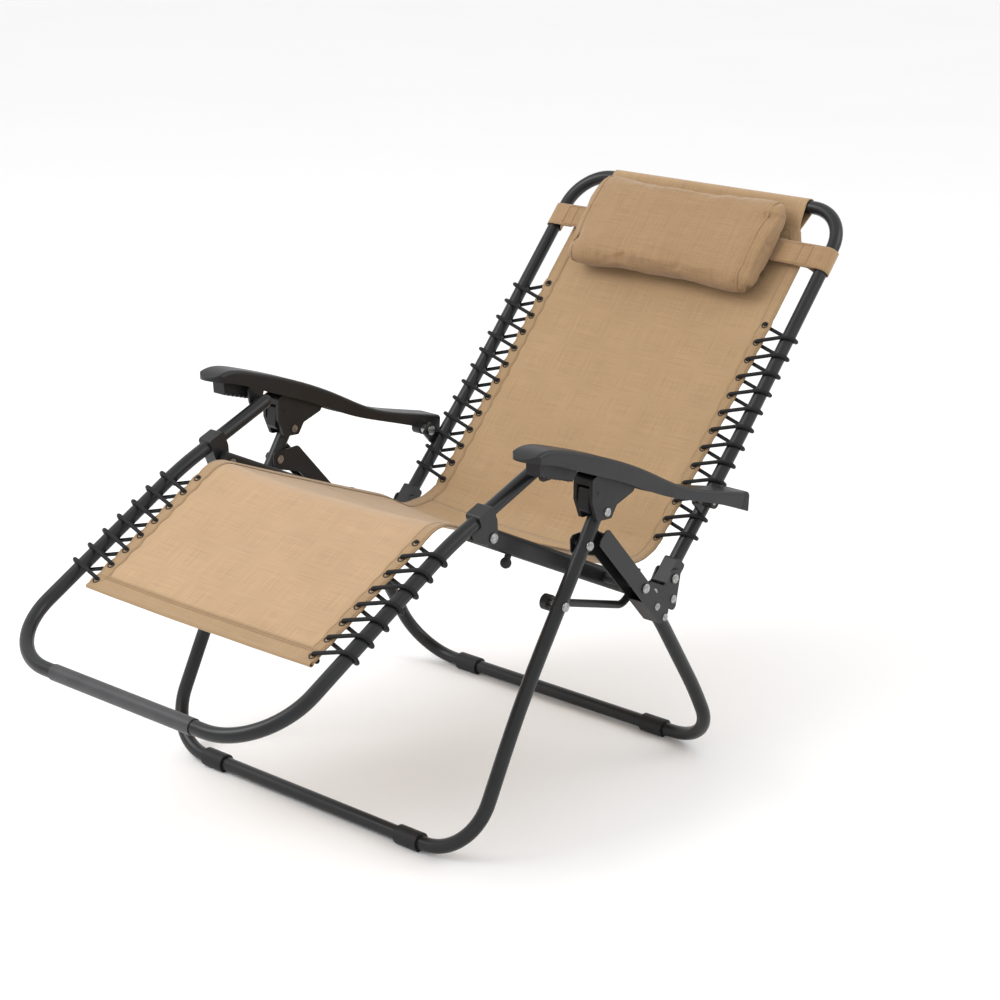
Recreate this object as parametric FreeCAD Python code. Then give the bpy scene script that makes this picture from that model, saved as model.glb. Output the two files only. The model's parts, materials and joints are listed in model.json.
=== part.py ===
"""Zero gravity recliner: a folding tube frame with a laced fabric sling, built as separate pieces.

X runs across the chair (+X is the sitter's left), Y from the feet to the head, Z up from the floor.
Side positions are (y, z) pairs whose y starts at the front floor bar.
"""
import FreeCAD, Part
import math
import os

V = FreeCAD.Vector

# Driving dimensions, in millimetres and degrees.
TUBE_R = 11.0             # 22 mm round steel tube
TUBE_WALL = 1.2
MIDDLE_Y = 303.0          # front floor bar to the middle of the chair's length
FRAME_X = 283.0           # half spacing of the back, seat-link and footrest tubes
LEG_X = 330.0             # half spacing of the legs and the armrests
RAIL_X = 260.0            # half spacing of the seat rails
BAR_Z = 13.5              # height of the floor bars, which rest on pads

FRONT_BAR = (0.0, BAR_Z)
FRONT_LEG_BOW = (110.0, 230.0)
FRONT_LEG_TOP = (282.6, 494.7)
REAR_BAR = (590.0, BAR_Z)
REAR_LEG_BOW = (527.0, 130.0)
REAR_LEG_BEND = (430.0, 275.0)
REAR_LEG_TOP = (397.0, 312.5)
CHANNEL_TOP = (281.0, 438.0)
LEG_CORNER_R = 90.0

FOOT_BAR = (-361.0, 282.0)
KNEE = (4.0, 483.0)
LINK_TOP = (185.0, 554.0)     # upper end of the footrest's links, where the armrest is pinned
FOOT_CORNER_R = 112.0
BACK_FOOT = (496.0, 299.0)
BACK_BOW = (700.0, 517.0)
BACK_TOP = (967.0, 822.0)
BACK_CORNER_R = 70.0

FOOT_PIVOT = (84.0, 479.0)    # on the seat rail's front end
RAIL_END = (506.0, 278.0)     # last rivet of the seat rail
LEG_PIVOT = (245.7, 438.0)    # front leg on rear leg
STRUT_PIVOT = (192.8, 357.0)  # strut on front leg
ARM_PIVOT = (575.0, 425.0)    # armrest on back tube
LEVER_PIVOT = (252.0, 519.0)  # finger lever in the lock housing
RAIL_WIDTH = 14.0
RAIL_DEPTH = 30.0
RAIL_WALL = 1.5
PIN_R = 5.0
RUN_FIT = 0.05                # radial clearance of a pin in its bore
STRUT_R = 6.0
STRUT_X = 307.2

ARM_WIDTH = 52.0
SLING_HALF = 240.0
SLING_THICK = 2.0
LACE_R = 3.1
EYELET_X = 231.0
EYELET_R = 4.4
FOOT_LACES = 8
BACK_LACES = 13
LACE_PITCH = 33.5
PAD_LENGTH = 44.0
FOOT_HEM = 158.0          # front hem from the foot bar, along the tube
FOOT_FIRST = 172.0        # first eyelet
BACK_FIRST = 76.0
PILLOW_HALF = 195.0
PILLOW_TALL = 180.0
PILLOW_THICK = 60.0
PILLOW_BELOW_TOP = 106.0
STRAP_BELOW_TOP = 95.0
STRAP_TALL = 42.0

os.makedirs("parts", exist_ok=True)


# ---- General helpers ----

def at(x, side):
    """A point from its distance across the chair and its side position."""
    return V(x, side[0] - MIDDLE_Y, side[1])


def between(a, b, t):
    """The side position at fraction t of the way from a to b."""
    return (a[0] + (b[0] - a[0]) * t, a[1] + (b[1] - a[1]) * t)


def heading(a, b):
    """Unit direction from side position a to b, as (y, z)."""
    length = math.dist(a, b)
    return ((b[0] - a[0]) / length, (b[1] - a[1]) / length)


def offset(a, b, along, rise):
    """The side position that lies along the line a-b from a, and to its left seen from +X."""
    y, z = heading(a, b)
    return (a[0] + y * along - z * rise, a[1] + z * along + y * rise)


def corner(before, here, after, radius):
    """Start, middle and end of the arc that rounds one corner of a path."""
    back = (before - here).normalize()
    ahead = (after - here).normalize()
    half_turn = (math.pi - back.getAngle(ahead)) / 2
    reach = radius * math.tan(half_turn)
    middle = here + (back + ahead).normalize() * (radius / math.cos(half_turn) - radius)
    return here + back * reach, middle, here + ahead * reach


def open_path(points, radii):
    """Straight runs joined by tangent arcs, with one radius for each inner point."""
    edges = []
    start = points[0]
    for before, here, after, radius in zip(points, points[1:], points[2:], radii):
        first, middle, last = corner(before, here, after, radius)
        edges.append(Part.LineSegment(start, first).toShape())
        edges.append(Part.Arc(first, middle, last).toShape())
        start = last
    edges.append(Part.LineSegment(start, points[-1]).toShape())
    return Part.Wire(edges)


def round_bar(points, radii, radius):
    """A solid round bar along a path."""
    circle = Part.Circle(points[0], points[1] - points[0], radius).toShape()
    return open_path(points, radii).makePipeShell([Part.Wire([circle])], True, False)


def tube(points, radii, radius=TUBE_R, wall=TUBE_WALL):
    """A hollow round tube along a path, open at both ends."""
    return round_bar(points, radii, radius).cut(round_bar(points, radii, radius - wall))


def closed_loop(points, radius):
    """A closed outline with every corner rounded."""
    edges = []
    arcs = []
    for index, here in enumerate(points):
        after = points[(index + 1) % len(points)]
        arcs.append(corner(points[index - 1], here, after, radius))
    for index, (first, middle, last) in enumerate(arcs):
        edges.append(Part.Arc(first, middle, last).toShape())
        edges.append(Part.LineSegment(last, arcs[(index + 1) % len(arcs)][0]).toShape())
    return Part.Wire(edges)


def plate(outline, radius, x_low, x_high):
    """A flat plate seen from the side, with rounded corners."""
    wire = closed_loop([at(x_low, side) for side in outline], radius)
    return Part.Face(wire).extrude(V(x_high - x_low, 0, 0))


def cross_pin(side, x_low, x_high, radius):
    """A round pin or bore across the chair."""
    return Part.makeCylinder(radius, x_high - x_low, at(x_low, side), V(1, 0, 0))


def headed_pin(side, x_low, x_high, radius, head_r, head):
    """A pin with a domed head at its outer end and a flat one at its inner end."""
    dome = Part.makeCylinder(head_r, head, at(x_high, side), V(1, 0, 0))
    rim = [edge for edge in dome.Edges if abs(edge.CenterOfMass.x - x_high - head) < 0.01]
    dome = dome.makeFillet(head * 0.8, rim)
    tail = Part.makeCylinder(head_r * 0.9, head * 0.6, at(x_low - head * 0.6, side), V(1, 0, 0))
    return cross_pin(side, x_low, x_high, radius).fuse([dome, tail]).removeSplitter()


def mirrored(shape):
    return shape.mirror(V(0, 0, 0), V(1, 0, 0))


BACK_PIVOT = offset(BACK_FOOT, BACK_BOW, 17.0, 0.0)
LOCK_PIVOT = offset(FRONT_LEG_TOP, FRONT_LEG_BOW, 12.0, 0.0)
SEAT_PIVOT = between(FOOT_PIVOT, RAIL_END, 0.69)    # rear leg on seat rail
RAIL_RIVET = between(FOOT_PIVOT, RAIL_END, 0.884)
BUMPER = between(FOOT_PIVOT, RAIL_END, 0.19)


def save(name, shape):
    shape.exportStep("parts/" + name + ".step")


def save_pair(name, left):
    save(name + "_left", left)
    save(name + "_right", mirrored(left))


def save_group(name, solids):
    """Identical pieces on both sides of the chair share one file."""
    save(name, Part.makeCompound(solids + [mirrored(solid) for solid in solids]))


# ---- Legs ----

def u_frame(side_points, bend_radii, corner_radius, half):
    """A bent U of tube: up one side, across at the last side point, and down the other."""
    left = [at(half, side) for side in side_points]
    right = [at(-half, side) for side in reversed(side_points)]
    radii = bend_radii + [corner_radius, corner_radius] + bend_radii[::-1]
    return tube(left + right, radii)


def floor_pad(bar, x_middle):
    """A clip-on pad round a floor bar, cut flat where it meets the floor."""
    outer = Part.makeCylinder(15.0, PAD_LENGTH, at(x_middle - PAD_LENGTH / 2, bar), V(1, 0, 0))
    bore = Part.makeCylinder(TUBE_R, PAD_LENGTH, at(x_middle - PAD_LENGTH / 2, bar), V(1, 0, 0))
    below = Part.makeBox(PAD_LENGTH, 60.0, 20.0, at(x_middle - PAD_LENGTH / 2, (bar[0] - 30.0, -20.0)))
    return outer.cut(bore).cut(below)


def rear_leg_channel():
    """Pressed U-section arm on the rear leg: two cheeks, a web behind them, and a wing
    on the inner cheek for the pivot."""
    low = offset(CHANNEL_TOP, REAR_LEG_BEND, 215.0, 0.0)
    outline = [
        offset(low, CHANNEL_TOP, 0.0, 14.0),
        offset(low, CHANNEL_TOP, 0.0, -15.0),
        offset(low, CHANNEL_TOP, 222.0, -15.0),
        offset(low, CHANNEL_TOP, 236.0, 2.0),
        (LEG_PIVOT[0] - 15.0, LEG_PIVOT[1] + 14.0),
        (LEG_PIVOT[0] - 13.0, LEG_PIVOT[1] - 14.0),
        offset(low, CHANNEL_TOP, 188.0, 15.0),
    ]
    inner = plate(outline, 8.0, LEG_X - 15.0, LEG_X - 13.0)
    slim = [offset(low, CHANNEL_TOP, along, rise)
            for along, rise in ((0.0, 14.0), (0.0, -15.0), (228.0, -15.0), (228.0, 14.0))]
    outer = plate(slim, 8.0, LEG_X + 13.0, LEG_X + 15.0)
    web_outline = [
        offset(low, CHANNEL_TOP, 6.0, -12.8),
        offset(low, CHANNEL_TOP, 6.0, -15.0),
        offset(low, CHANNEL_TOP, 208.0, -15.0),
        offset(low, CHANNEL_TOP, 208.0, -12.8),
    ]
    web = plate(web_outline, 0.6, LEG_X - 14.0, LEG_X + 14.0)
    lower_web = [
        offset(low, CHANNEL_TOP, 6.0, 11.8),
        offset(low, CHANNEL_TOP, 6.0, 14.0),
        offset(low, CHANNEL_TOP, 66.0, 14.0),
        offset(low, CHANNEL_TOP, 66.0, 11.8),
    ]
    closing = plate(lower_web, 0.6, LEG_X - 14.0, LEG_X + 14.0)
    arm = inner.fuse([outer, web, closing])
    bores = [
        cross_pin(SEAT_PIVOT, 0.0, 400.0, PIN_R + RUN_FIT),
        cross_pin(LEG_PIVOT, 0.0, 400.0, PIN_R),
    ]
    return arm.cut(bores)


def strut():
    """Bent round bar from the front leg to a hook round the seat rail's pivot bush."""
    points = [
        at(STRUT_X, STRUT_PIVOT),
        at(STRUT_X, (366.0, 307.5)),
        at(STRUT_X, (400.0, 330.0)),
        at(STRUT_X, (401.0, 356.0)),
    ]
    bar = round_bar(points, [22.0, 14.0], STRUT_R)
    eye = cross_pin(STRUT_PIVOT, STRUT_X - STRUT_R, STRUT_X + STRUT_R, 12.0)
    bore = cross_pin(STRUT_PIVOT, STRUT_X - 8.0, STRUT_X + 8.0, PIN_R + RUN_FIT)
    return bar.fuse(eye).removeSplitter().cut(bore)


# ---- Seat rails ----

def rail_section(start, direction, width, depth, radius, length):
    """A rounded rectangular bar from start along a side direction."""
    up = V(0, -direction.z, direction.y)
    across = V(1, 0, 0)
    corners = [(-0.5, -0.5), (0.5, -0.5), (0.5, 0.5), (-0.5, 0.5)]
    points = [start + across * (width * a) + up * (depth * b) for a, b in corners]
    return Part.Face(closed_loop(points, radius)).extrude(direction * length)


def seat_rail():
    y, z = heading(FOOT_PIVOT, RAIL_END)
    direction = V(0, y, z)
    length = math.dist(FOOT_PIVOT, RAIL_END) + 24.0
    start = at(RAIL_X, offset(FOOT_PIVOT, RAIL_END, -12.0, 0.0))
    outer = rail_section(start, direction, RAIL_WIDTH, RAIL_DEPTH, 6.5, length)
    room = RAIL_WIDTH - 2 * RAIL_WALL
    inner = rail_section(start, direction, room, RAIL_DEPTH - 2 * RAIL_WALL, 5.0, length)
    holes = [
        cross_pin(FOOT_PIVOT, 200.0, 300.0, PIN_R),
        cross_pin(SEAT_PIVOT, 200.0, 300.0, PIN_R),
        cross_pin(RAIL_RIVET, 200.0, 300.0, 4.0),
        cross_pin(RAIL_END, 200.0, 300.0, 4.0),
    ]
    return outer.cut(inner).cut(holes)


def rail_plug(side, heading_in):
    """Moulded plug that closes one end of a seat rail."""
    direction = V(0, heading_in[0], heading_in[1])
    start = at(RAIL_X, side)
    head = rail_section(start - direction * 3.0, direction, RAIL_WIDTH, RAIL_DEPTH, 6.5, 3.0)
    return head


def rear_bracket():
    """U-shaped bracket at the back of a seat rail that carries the backrest's pivot."""
    low = offset(RAIL_END, FOOT_PIVOT, 72.0, 0.0)
    outline = [
        offset(low, RAIL_END, 0.0, -17.0),
        offset(low, RAIL_END, 86.0, -17.0),
        (BACK_PIVOT[0] + 17.0, BACK_PIVOT[1] + 12.0),
        (BACK_PIVOT[0] - 7.0, BACK_PIVOT[1] + 16.0),
        offset(low, RAIL_END, 42.0, 15.0),
        offset(low, RAIL_END, 0.0, 15.0),
    ]
    inner = plate(outline, 8.0, 267.3, 270.0)
    outer = plate(outline, 8.0, 296.0, 298.7)
    web_outline = [offset(low, RAIL_END, along, rise)
                   for along, rise in ((9.0, -17.0), (70.0, -17.0), (70.0, -14.6), (9.0, -14.6))]
    web = plate(web_outline, 0.8, 268.0, 298.0)
    bracket = inner.fuse([outer, web])
    holes = [
        cross_pin(BACK_PIVOT, 250.0, 320.0, PIN_R),
        cross_pin(RAIL_RIVET, 250.0, 320.0, 4.0),
        cross_pin(RAIL_END, 250.0, 320.0, 4.0),
    ]
    return bracket.cut(holes)


def bumper():
    """Round rubber stop under a seat rail, with the stem that holds it."""
    y, z = heading(FOOT_PIVOT, RAIL_END)
    down = V(0, z, -y)
    top = at(RAIL_X, BUMPER) + down * (RAIL_DEPTH / 2)
    neck = Part.makeCylinder(5.0, 6.0, top, down)
    ball = Part.makeSphere(8.5, top + down * 12.0)
    return neck.fuse(ball).removeSplitter()


# ---- Footrest and backrest ----

def knee_bracket():
    """Solid lug clamped round a footrest tube, reaching down to the seat rail's front pivot."""
    outline = [
        offset(KNEE, LINK_TOP, 58.0, 13.0),
        offset(KNEE, LINK_TOP, 58.0, -13.0),
        (FOOT_PIVOT[0] - 11.0, FOOT_PIVOT[1] - 11.0),
        (FOOT_PIVOT[0] + 11.0, FOOT_PIVOT[1] - 9.0),
        offset(KNEE, LINK_TOP, 90.0, -13.0),
        offset(KNEE, LINK_TOP, 90.0, 13.0),
    ]
    lug = plate(outline, 5.0, FRAME_X - 13.5, FRAME_X + 13.5)
    hole = round_bar(footrest_path(), FOOTREST_BENDS, TUBE_R)
    return lug.cut([hole, cross_pin(FOOT_PIVOT, 250.0, 320.0, PIN_R + RUN_FIT)])


def footrest_path():
    sides = [LINK_TOP, KNEE, FOOT_BAR]
    return [at(FRAME_X, side) for side in sides] + [at(-FRAME_X, side) for side in reversed(sides)]


def back_path():
    sides = [BACK_FOOT, BACK_BOW, BACK_TOP]
    return [at(FRAME_X, side) for side in sides] + [at(-FRAME_X, side) for side in reversed(sides)]


FOOTREST_BENDS = [600.0, FOOT_CORNER_R, FOOT_CORNER_R, 600.0]
BACK_BENDS = [2500.0, BACK_CORNER_R, BACK_CORNER_R, 2500.0]


def back_lug():
    """Pressed sleeve round the foot of a back tube, with the bore of its pivot."""
    outline = [offset(BACK_FOOT, BACK_BOW, along, rise)
               for along, rise in ((-1.0, -12.5), (48.0, -12.5), (48.0, 12.5), (-1.0, 12.5))]
    lug = plate(outline, 5.0, FRAME_X - 12.5, FRAME_X + 12.5)
    tube_hole = round_bar(back_path(), BACK_BENDS, TUBE_R)
    return lug.cut([tube_hole, cross_pin(BACK_PIVOT, 250.0, 320.0, PIN_R + RUN_FIT)])


def arm_ear():
    """Plate welded to a back tube that carries the armrest's rear pivot."""
    outline = [offset(BACK_FOOT, BACK_BOW, along, rise)
               for along, rise in ((131.0, 6.0), (151.0, 6.0), (153.0, 20.0), (159.0, 38.0), (133.0, 38.0))]
    ear = plate(outline, 4.0, 287.0, 292.0)
    tube_hole = round_bar(back_path(), BACK_BENDS, TUBE_R)
    return ear.cut([tube_hole, cross_pin(ARM_PIVOT, 250.0, 320.0, PIN_R)])


# ---- Armrests and their locks ----

ARM_TOP = [
    (99.0, 599.0), (122.0, 608.0), (180.0, 599.0), (262.0, 572.0),
    (372.0, 525.0), (456.0, 484.0), (540.0, 459.0), (618.0, 440.0),
]
ARM_UNDER = [
    (616.0, 409.0), (560.0, 431.0), (472.0, 459.0), (406.0, 481.0),
    (309.0, 523.0), (202.0, 564.0), (120.0, 592.0), (99.0, 595.5),
]


def arm_profile(drop, x_low, x_high):
    """The armrest's side outline, lowered by drop and as wide as asked."""
    top = Part.BSplineCurve()
    top.interpolate([at(x_low, (y, z - drop)) for y, z in ARM_TOP])
    under = Part.BSplineCurve()
    under.interpolate([at(x_low, (y, z - drop)) for y, z in ARM_UNDER])
    rear = Part.LineSegment(top.EndPoint, under.StartPoint)
    front = Part.LineSegment(under.EndPoint, top.StartPoint)
    wire = Part.Wire([top.toShape(), rear.toShape(), under.toShape(), front.toShape()])
    return Part.Face(wire).extrude(V(x_high - x_low, 0, 0))


def arm_plan():
    """Upright block whose plan has the armrest's rounded nose and square tail."""
    x_low, x_high = LEG_X - ARM_WIDTH / 2, LEG_X + ARM_WIDTH / 2
    y_low, y_high = 100.0 - MIDDLE_Y, 640.0 - MIDDLE_Y
    nose = Part.Arc(V(x_high, y_low + 40.0, 380.0), V(LEG_X, y_low, 380.0), V(x_low, y_low + 40.0, 380.0))
    sides = [V(x_low, y_low + 40.0, 380.0), V(x_low, y_high, 380.0)]
    sides += [V(x_high, y_high, 380.0), V(x_high, y_low + 40.0, 380.0)]
    edges = [nose.toShape()] + [Part.LineSegment(a, b).toShape() for a, b in zip(sides, sides[1:])]
    return Part.Face(Part.Wire(edges)).extrude(V(0, 0, 260.0))


def armrest():
    """Moulded armrest: a curved beam, hollow underneath, with a stub for the footrest's link."""
    beam = arm_profile(0.0, LEG_X - ARM_WIDTH / 2, LEG_X + ARM_WIDTH / 2).common(arm_plan())
    upper = [edge for edge in beam.Edges if long_top_edge(edge)]
    beam = beam.makeFillet(6.0, upper)
    reach = Part.makeBox(60.0, 340.0, 260.0, at(300.0, (150.0, 400.0)))
    hollow = arm_profile(3.6, LEG_X - 22.0, LEG_X + 22.0).common(reach)
    y, z = LINK_TOP
    ear_outline = [(y - 16.0, z + 26.0), (y - 12.0, z - 10.0), (y + 12.0, z - 10.0), (y + 20.0, z + 18.0)]
    ear = plate(ear_outline, 8.0, LEG_X - ARM_WIDTH / 2, LEG_X - 22.0)
    stub = cross_pin(LINK_TOP, 296.0, 306.0, 7.0)
    boss = cross_pin(ARM_PIVOT, 304.0, 322.0, 10.0)
    bore = cross_pin(ARM_PIVOT, 290.0, 322.0, PIN_R + RUN_FIT)
    return beam.cut(hollow).fuse([ear, stub, boss]).cut(bore).removeSplitter()


def long_top_edge(edge):
    """True for the two long edges along the top of the armrest."""
    box = edge.BoundBox
    flat = box.XLength < 0.01 and box.YLength > 300.0
    return flat and edge.valueAt((edge.FirstParameter + edge.LastParameter) / 2).z > top_line(box.Center.y)


def top_line(y):
    """A height between the armrest's underside and its top, at the middle of its length."""
    return 508.0 - (y + MIDDLE_Y - 376.0) * 0.37


def split_arm():
    """The armrest without its tail, and the tail as a separate end cap."""
    whole = armrest()
    tail = Part.makeBox(80.0, 60.0, 120.0, at(290.0, (598.0, 360.0)))
    tail.rotate(at(290.0, (598.0, 412.0)), V(1, 0, 0), -20.0)
    gap = Part.makeBox(80.0, 0.8, 120.0, at(290.0, (597.4, 360.0)))
    gap.rotate(at(290.0, (598.0, 412.0)), V(1, 0, 0), -20.0)
    return whole.cut(tail).cut(gap), whole.common(tail)


def arm_rack(arm):
    """Notched block that fills the armrest's hollow at the front, ending in a ring."""
    teeth = []
    for index in range(8):
        y = 134.0 + index * 9.0
        z = 577.0 - index * 2.7
        teeth.append((y, z - 7.0))
        teeth.append((y + 4.5, z - 12.0))
    outline = [(128.0, 594.0), (130.0, 568.0)] + teeth + [(205.0, 552.0), (212.0, 558.0), (210.0, 578.0)]
    points = [at(LEG_X - 13.0, side) for side in outline]
    block = Part.Face(Part.makePolygon(points + points[:1])).extrude(V(26.0, 0, 0))
    ring_at = (205.0, 553.0)
    ring = cross_pin(ring_at, LEG_X - 4.0, LEG_X + 4.0, 9.0)
    hole = cross_pin(ring_at, LEG_X - 5.0, LEG_X + 5.0, 4.2)
    return block.fuse(ring).removeSplitter().cut([hole, arm])


def lock_housing():
    """Block that rides under the armrest and pivots on the front leg's top."""
    outline = [
        (241.0, 541.0), (241.0, 506.0), (254.0, 475.0), (286.0, 473.0),
        (298.0, 491.0), (336.0, 503.0), (341.0, 511.0), (300.0, 533.0), (262.0, 549.0),
    ]
    block = plate(outline, 4.0, LEG_X - 18.0, LEG_X + 18.0)
    slot_outline = [
        (200.0, 508.0), (200.0, 400.0), (400.0, 400.0), (400.0, 502.5),
        (270.0, 502.5), (266.0, 528.0), (200.0, 534.0),
    ]
    points = [at(LEG_X - 12.0, side) for side in slot_outline]
    slot = Part.Face(Part.makePolygon(points + points[:1])).extrude(V(24.0, 0, 0))
    bores = [cross_pin(LOCK_PIVOT, 300.0, 360.0, 4.0), cross_pin(LEVER_PIVOT, 300.0, 360.0, 3.0 + RUN_FIT)]
    return block.cut(slot).cut(bores)


def lock_lever():
    """Finger lever between the housing's cheeks, with its own pin."""
    outline = [(244.0, 526.0), (240.0, 494.0), (247.0, 486.0), (256.0, 492.0), (260.0, 524.0)]
    lever = plate(outline, 4.0, LEG_X - 10.0, LEG_X + 10.0)
    return lever.fuse(cross_pin(LEVER_PIVOT, LEG_X - 17.5, LEG_X + 17.5, 3.0)).removeSplitter()


# ---- Sling, laces and headrest ----

def strip(points, radii, half, thick):
    """Cloth of constant thickness along a side path."""
    path = open_path([at(0.0, side) for side in points], radii)
    start = at(0.0, points[0])
    ahead = (at(0.0, points[1]) - start).normalize()
    up = V(0, -ahead.z, ahead.y)
    across = V(half, 0, 0)
    rise = up * (thick / 2)
    loop = [start - across - rise, start + across - rise, start + across + rise, start - across + rise]
    profile = Part.makePolygon(loop + loop[:1])
    return path.makePipeShell([profile], True, False)


class SidePath:
    """A side path of the frame: where it is and which way it runs at each distance along it."""

    def __init__(self, points, radii):
        self.edges = open_path([at(0.0, side) for side in points], radii).OrderedEdges

    def frame(self, distance):
        for edge in self.edges:
            if distance <= edge.Length or edge.isSame(self.edges[-1]):
                break
            distance -= edge.Length
        place = edge.getParameterByLength(min(distance, edge.Length))
        ahead = edge.tangentAt(place).normalize()
        return edge.valueAt(place), ahead, V(0, -ahead.z, ahead.y)


def eyelet_holes(side_path, first, count):
    """Bores for the laces along both edges of a sling."""
    holes = []
    for index in range(count):
        centre, ahead, up = side_path.frame(first + index * LACE_PITCH)
        for x in (-EYELET_X, EYELET_X):
            holes.append(Part.makeCylinder(EYELET_R, 12.0, centre + V(x, 0, 0) - up * 6.0, up))
    return holes


def lace(side_path, first, count):
    """One elastic cord, laced between a sling's eyelets and round the tube beside it."""
    turn = TUBE_R + LACE_R + 0.3
    span = FRAME_X - EYELET_X
    lift = 5.0
    slope = math.tan(math.asin(turn / math.hypot(span, lift)) - math.atan2(lift, span))
    peak = lift + (span + turn) * slope
    points = []
    for index in range(count):
        here = first + index * LACE_PITCH
        stations = [(0.0, EYELET_X, -lift), (0.0, EYELET_X, lift)]
        if index < count - 1:
            outer = FRAME_X + turn
            stations += [(0.45, outer, peak), (0.55, outer, -peak)]
        for step, x, rise in stations:
            centre, ahead, up = side_path.frame(here + step * LACE_PITCH)
            points.append(centre + V(x, 0, 0) + up * rise)
    radii = []
    for index in range(1, len(points) - 1):
        radii.append(4.0 if index % 4 in (0, 1) else turn - 0.4)
    return round_bar(points, radii, LACE_R)


FOOT_PATH = SidePath([FOOT_BAR, KNEE, LINK_TOP], [600.0])
BACK_PATH = SidePath([BACK_FOOT, BACK_BOW, BACK_TOP], [2500.0])
BACK_LENGTH = sum(edge.Length for edge in BACK_PATH.edges)


def point_on(path, distance):
    """The side position at a distance along a side path."""
    place = path.frame(distance)[0]
    return (place.y + MIDDLE_Y, place.z)


def foot_sling():
    start = point_on(FOOT_PATH, FOOT_HEM)
    end = between(FOOT_BAR, KNEE, 1.005)
    cloth = strip([start, end], [], SLING_HALF, SLING_THICK)
    hem = cross_pin(start, -SLING_HALF, SLING_HALF, 4.0)
    return cloth.fuse(hem).removeSplitter().cut(eyelet_holes(FOOT_PATH, FOOT_FIRST, FOOT_LACES))


def back_sling():
    """The back's cloth, narrowed between the tube's corners and sewn into a sleeve round the top bar."""
    low = point_on(BACK_PATH, BACK_FIRST - 14.0)
    shoulder = point_on(BACK_PATH, BACK_LENGTH - 60.0)
    wide = strip([low, BACK_BOW, shoulder], [2500.0], SLING_HALF, SLING_THICK)
    narrow = [point_on(BACK_PATH, BACK_LENGTH - 64.0), offset(BACK_TOP, BACK_BOW, 12.5, 0.0)]
    neck = strip(narrow, [], 205.0, SLING_THICK)
    sleeve = cross_pin(BACK_TOP, -205.0, 205.0, TUBE_R + 2.4)
    bar = cross_pin(BACK_TOP, -206.0, 206.0, TUBE_R + 0.2)
    cloth = wide.fuse([neck, sleeve]).cut(bar).removeSplitter()
    return cloth.cut(eyelet_holes(BACK_PATH, BACK_FIRST, BACK_LACES))


def seat_sling():
    """The free-hanging seat, from the footrest's sling down to the hips and up to the back's."""
    front = between(FOOT_BAR, KNEE, 1.012)
    rear = point_on(BACK_PATH, BACK_FIRST - 16.5)
    points = [front, (34.0, 499.5), (405.0, 357.0), (455.0, 329.0), (505.0, 331.0), rear]
    return strip(points, [50.0, 150.0, 55.0, 70.0], SLING_HALF, SLING_THICK)


def pillow():
    """Headrest pillow, lying on the front of the back's cloth."""
    high = BACK_LENGTH - PILLOW_BELOW_TOP
    outline = []
    for along, rise in ((-0.5, 0.0), (-0.5, 1.0), (0.5, 1.0), (0.5, 0.0)):
        foot = point_on(BACK_PATH, high + along * PILLOW_TALL)
        outline.append(offset(foot, BACK_TOP, 0.0, 3.0 + rise * PILLOW_THICK))
    return plate(outline, 24.0, -PILLOW_HALF, PILLOW_HALF)


def headrest_strap():
    """Cloth loop round a back tube, sewn to the pillow's end."""
    high = BACK_LENGTH - STRAP_BELOW_TOP
    centre, ahead, up = BACK_PATH.frame(high - STRAP_TALL / 2)
    middle = centre + V(FRAME_X, 0, 0)
    loop = Part.makeCylinder(TUBE_R + 3.2, STRAP_TALL, middle, ahead)
    hole = Part.makeCylinder(TUBE_R + 1.2, STRAP_TALL, middle, ahead)
    reach = FRAME_X - PILLOW_HALF
    tongue = Part.makeBox(reach, STRAP_TALL, 2.0)
    tongue.Placement = FreeCAD.Placement(V(0, 0, 0), FreeCAD.Rotation(V(1, 0, 0), ahead, up, "XYZ"))
    tongue.translate(centre + V(PILLOW_HALF + 0.5, 0, 0) + up * (TUBE_R + 1.2))
    return loop.fuse(tongue).cut(hole).removeSplitter()


# ---- Writing the pieces ----

def legs():
    front = u_frame([FRONT_LEG_TOP, FRONT_LEG_BOW, FRONT_BAR], [1500.0], LEG_CORNER_R, LEG_X)
    bores = []
    for side, radius in ((LEG_PIVOT, PIN_R + RUN_FIT), (STRUT_PIVOT, PIN_R), (LOCK_PIVOT, 4.0 + RUN_FIT)):
        bores.append(cross_pin(side, -400.0, 400.0, radius))
    save("front_leg_frame", front.cut(bores))
    rear_points = [REAR_LEG_TOP, REAR_LEG_BEND, REAR_LEG_BOW, REAR_BAR]
    rear = u_frame(rear_points, [400.0, 700.0], LEG_CORNER_R, LEG_X)
    rivets = [between(REAR_LEG_TOP, REAR_LEG_BEND, 0.25), between(REAR_LEG_TOP, REAR_LEG_BEND, 0.85)]
    save("rear_leg_frame", rear.cut([cross_pin(side, -400.0, 400.0, 3.5) for side in rivets]))
    channel = rear_leg_channel().cut([cross_pin(side, 300.0, 400.0, 3.5) for side in rivets])
    save_pair("rear_leg_channel", channel)
    save_group("channel_rivets", [headed_pin(side, 315.0, 345.0, 3.5, 6.0, 2.0) for side in rivets])
    save_group("front_floor_pads", [floor_pad(FRONT_BAR, 212.0)])
    save_group("rear_floor_pads", [floor_pad(REAR_BAR, 205.0)])
    save_group("leg_pivot_rivets", [headed_pin(LEG_PIVOT, 315.0, 341.0, PIN_R, 7.5, 3.0)])
    save_group("strut_pivot_rivets", [headed_pin(STRUT_PIVOT, 300.5, 341.0, PIN_R, 7.5, 3.0)])
    save_pair("fold_strut", strut())


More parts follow.
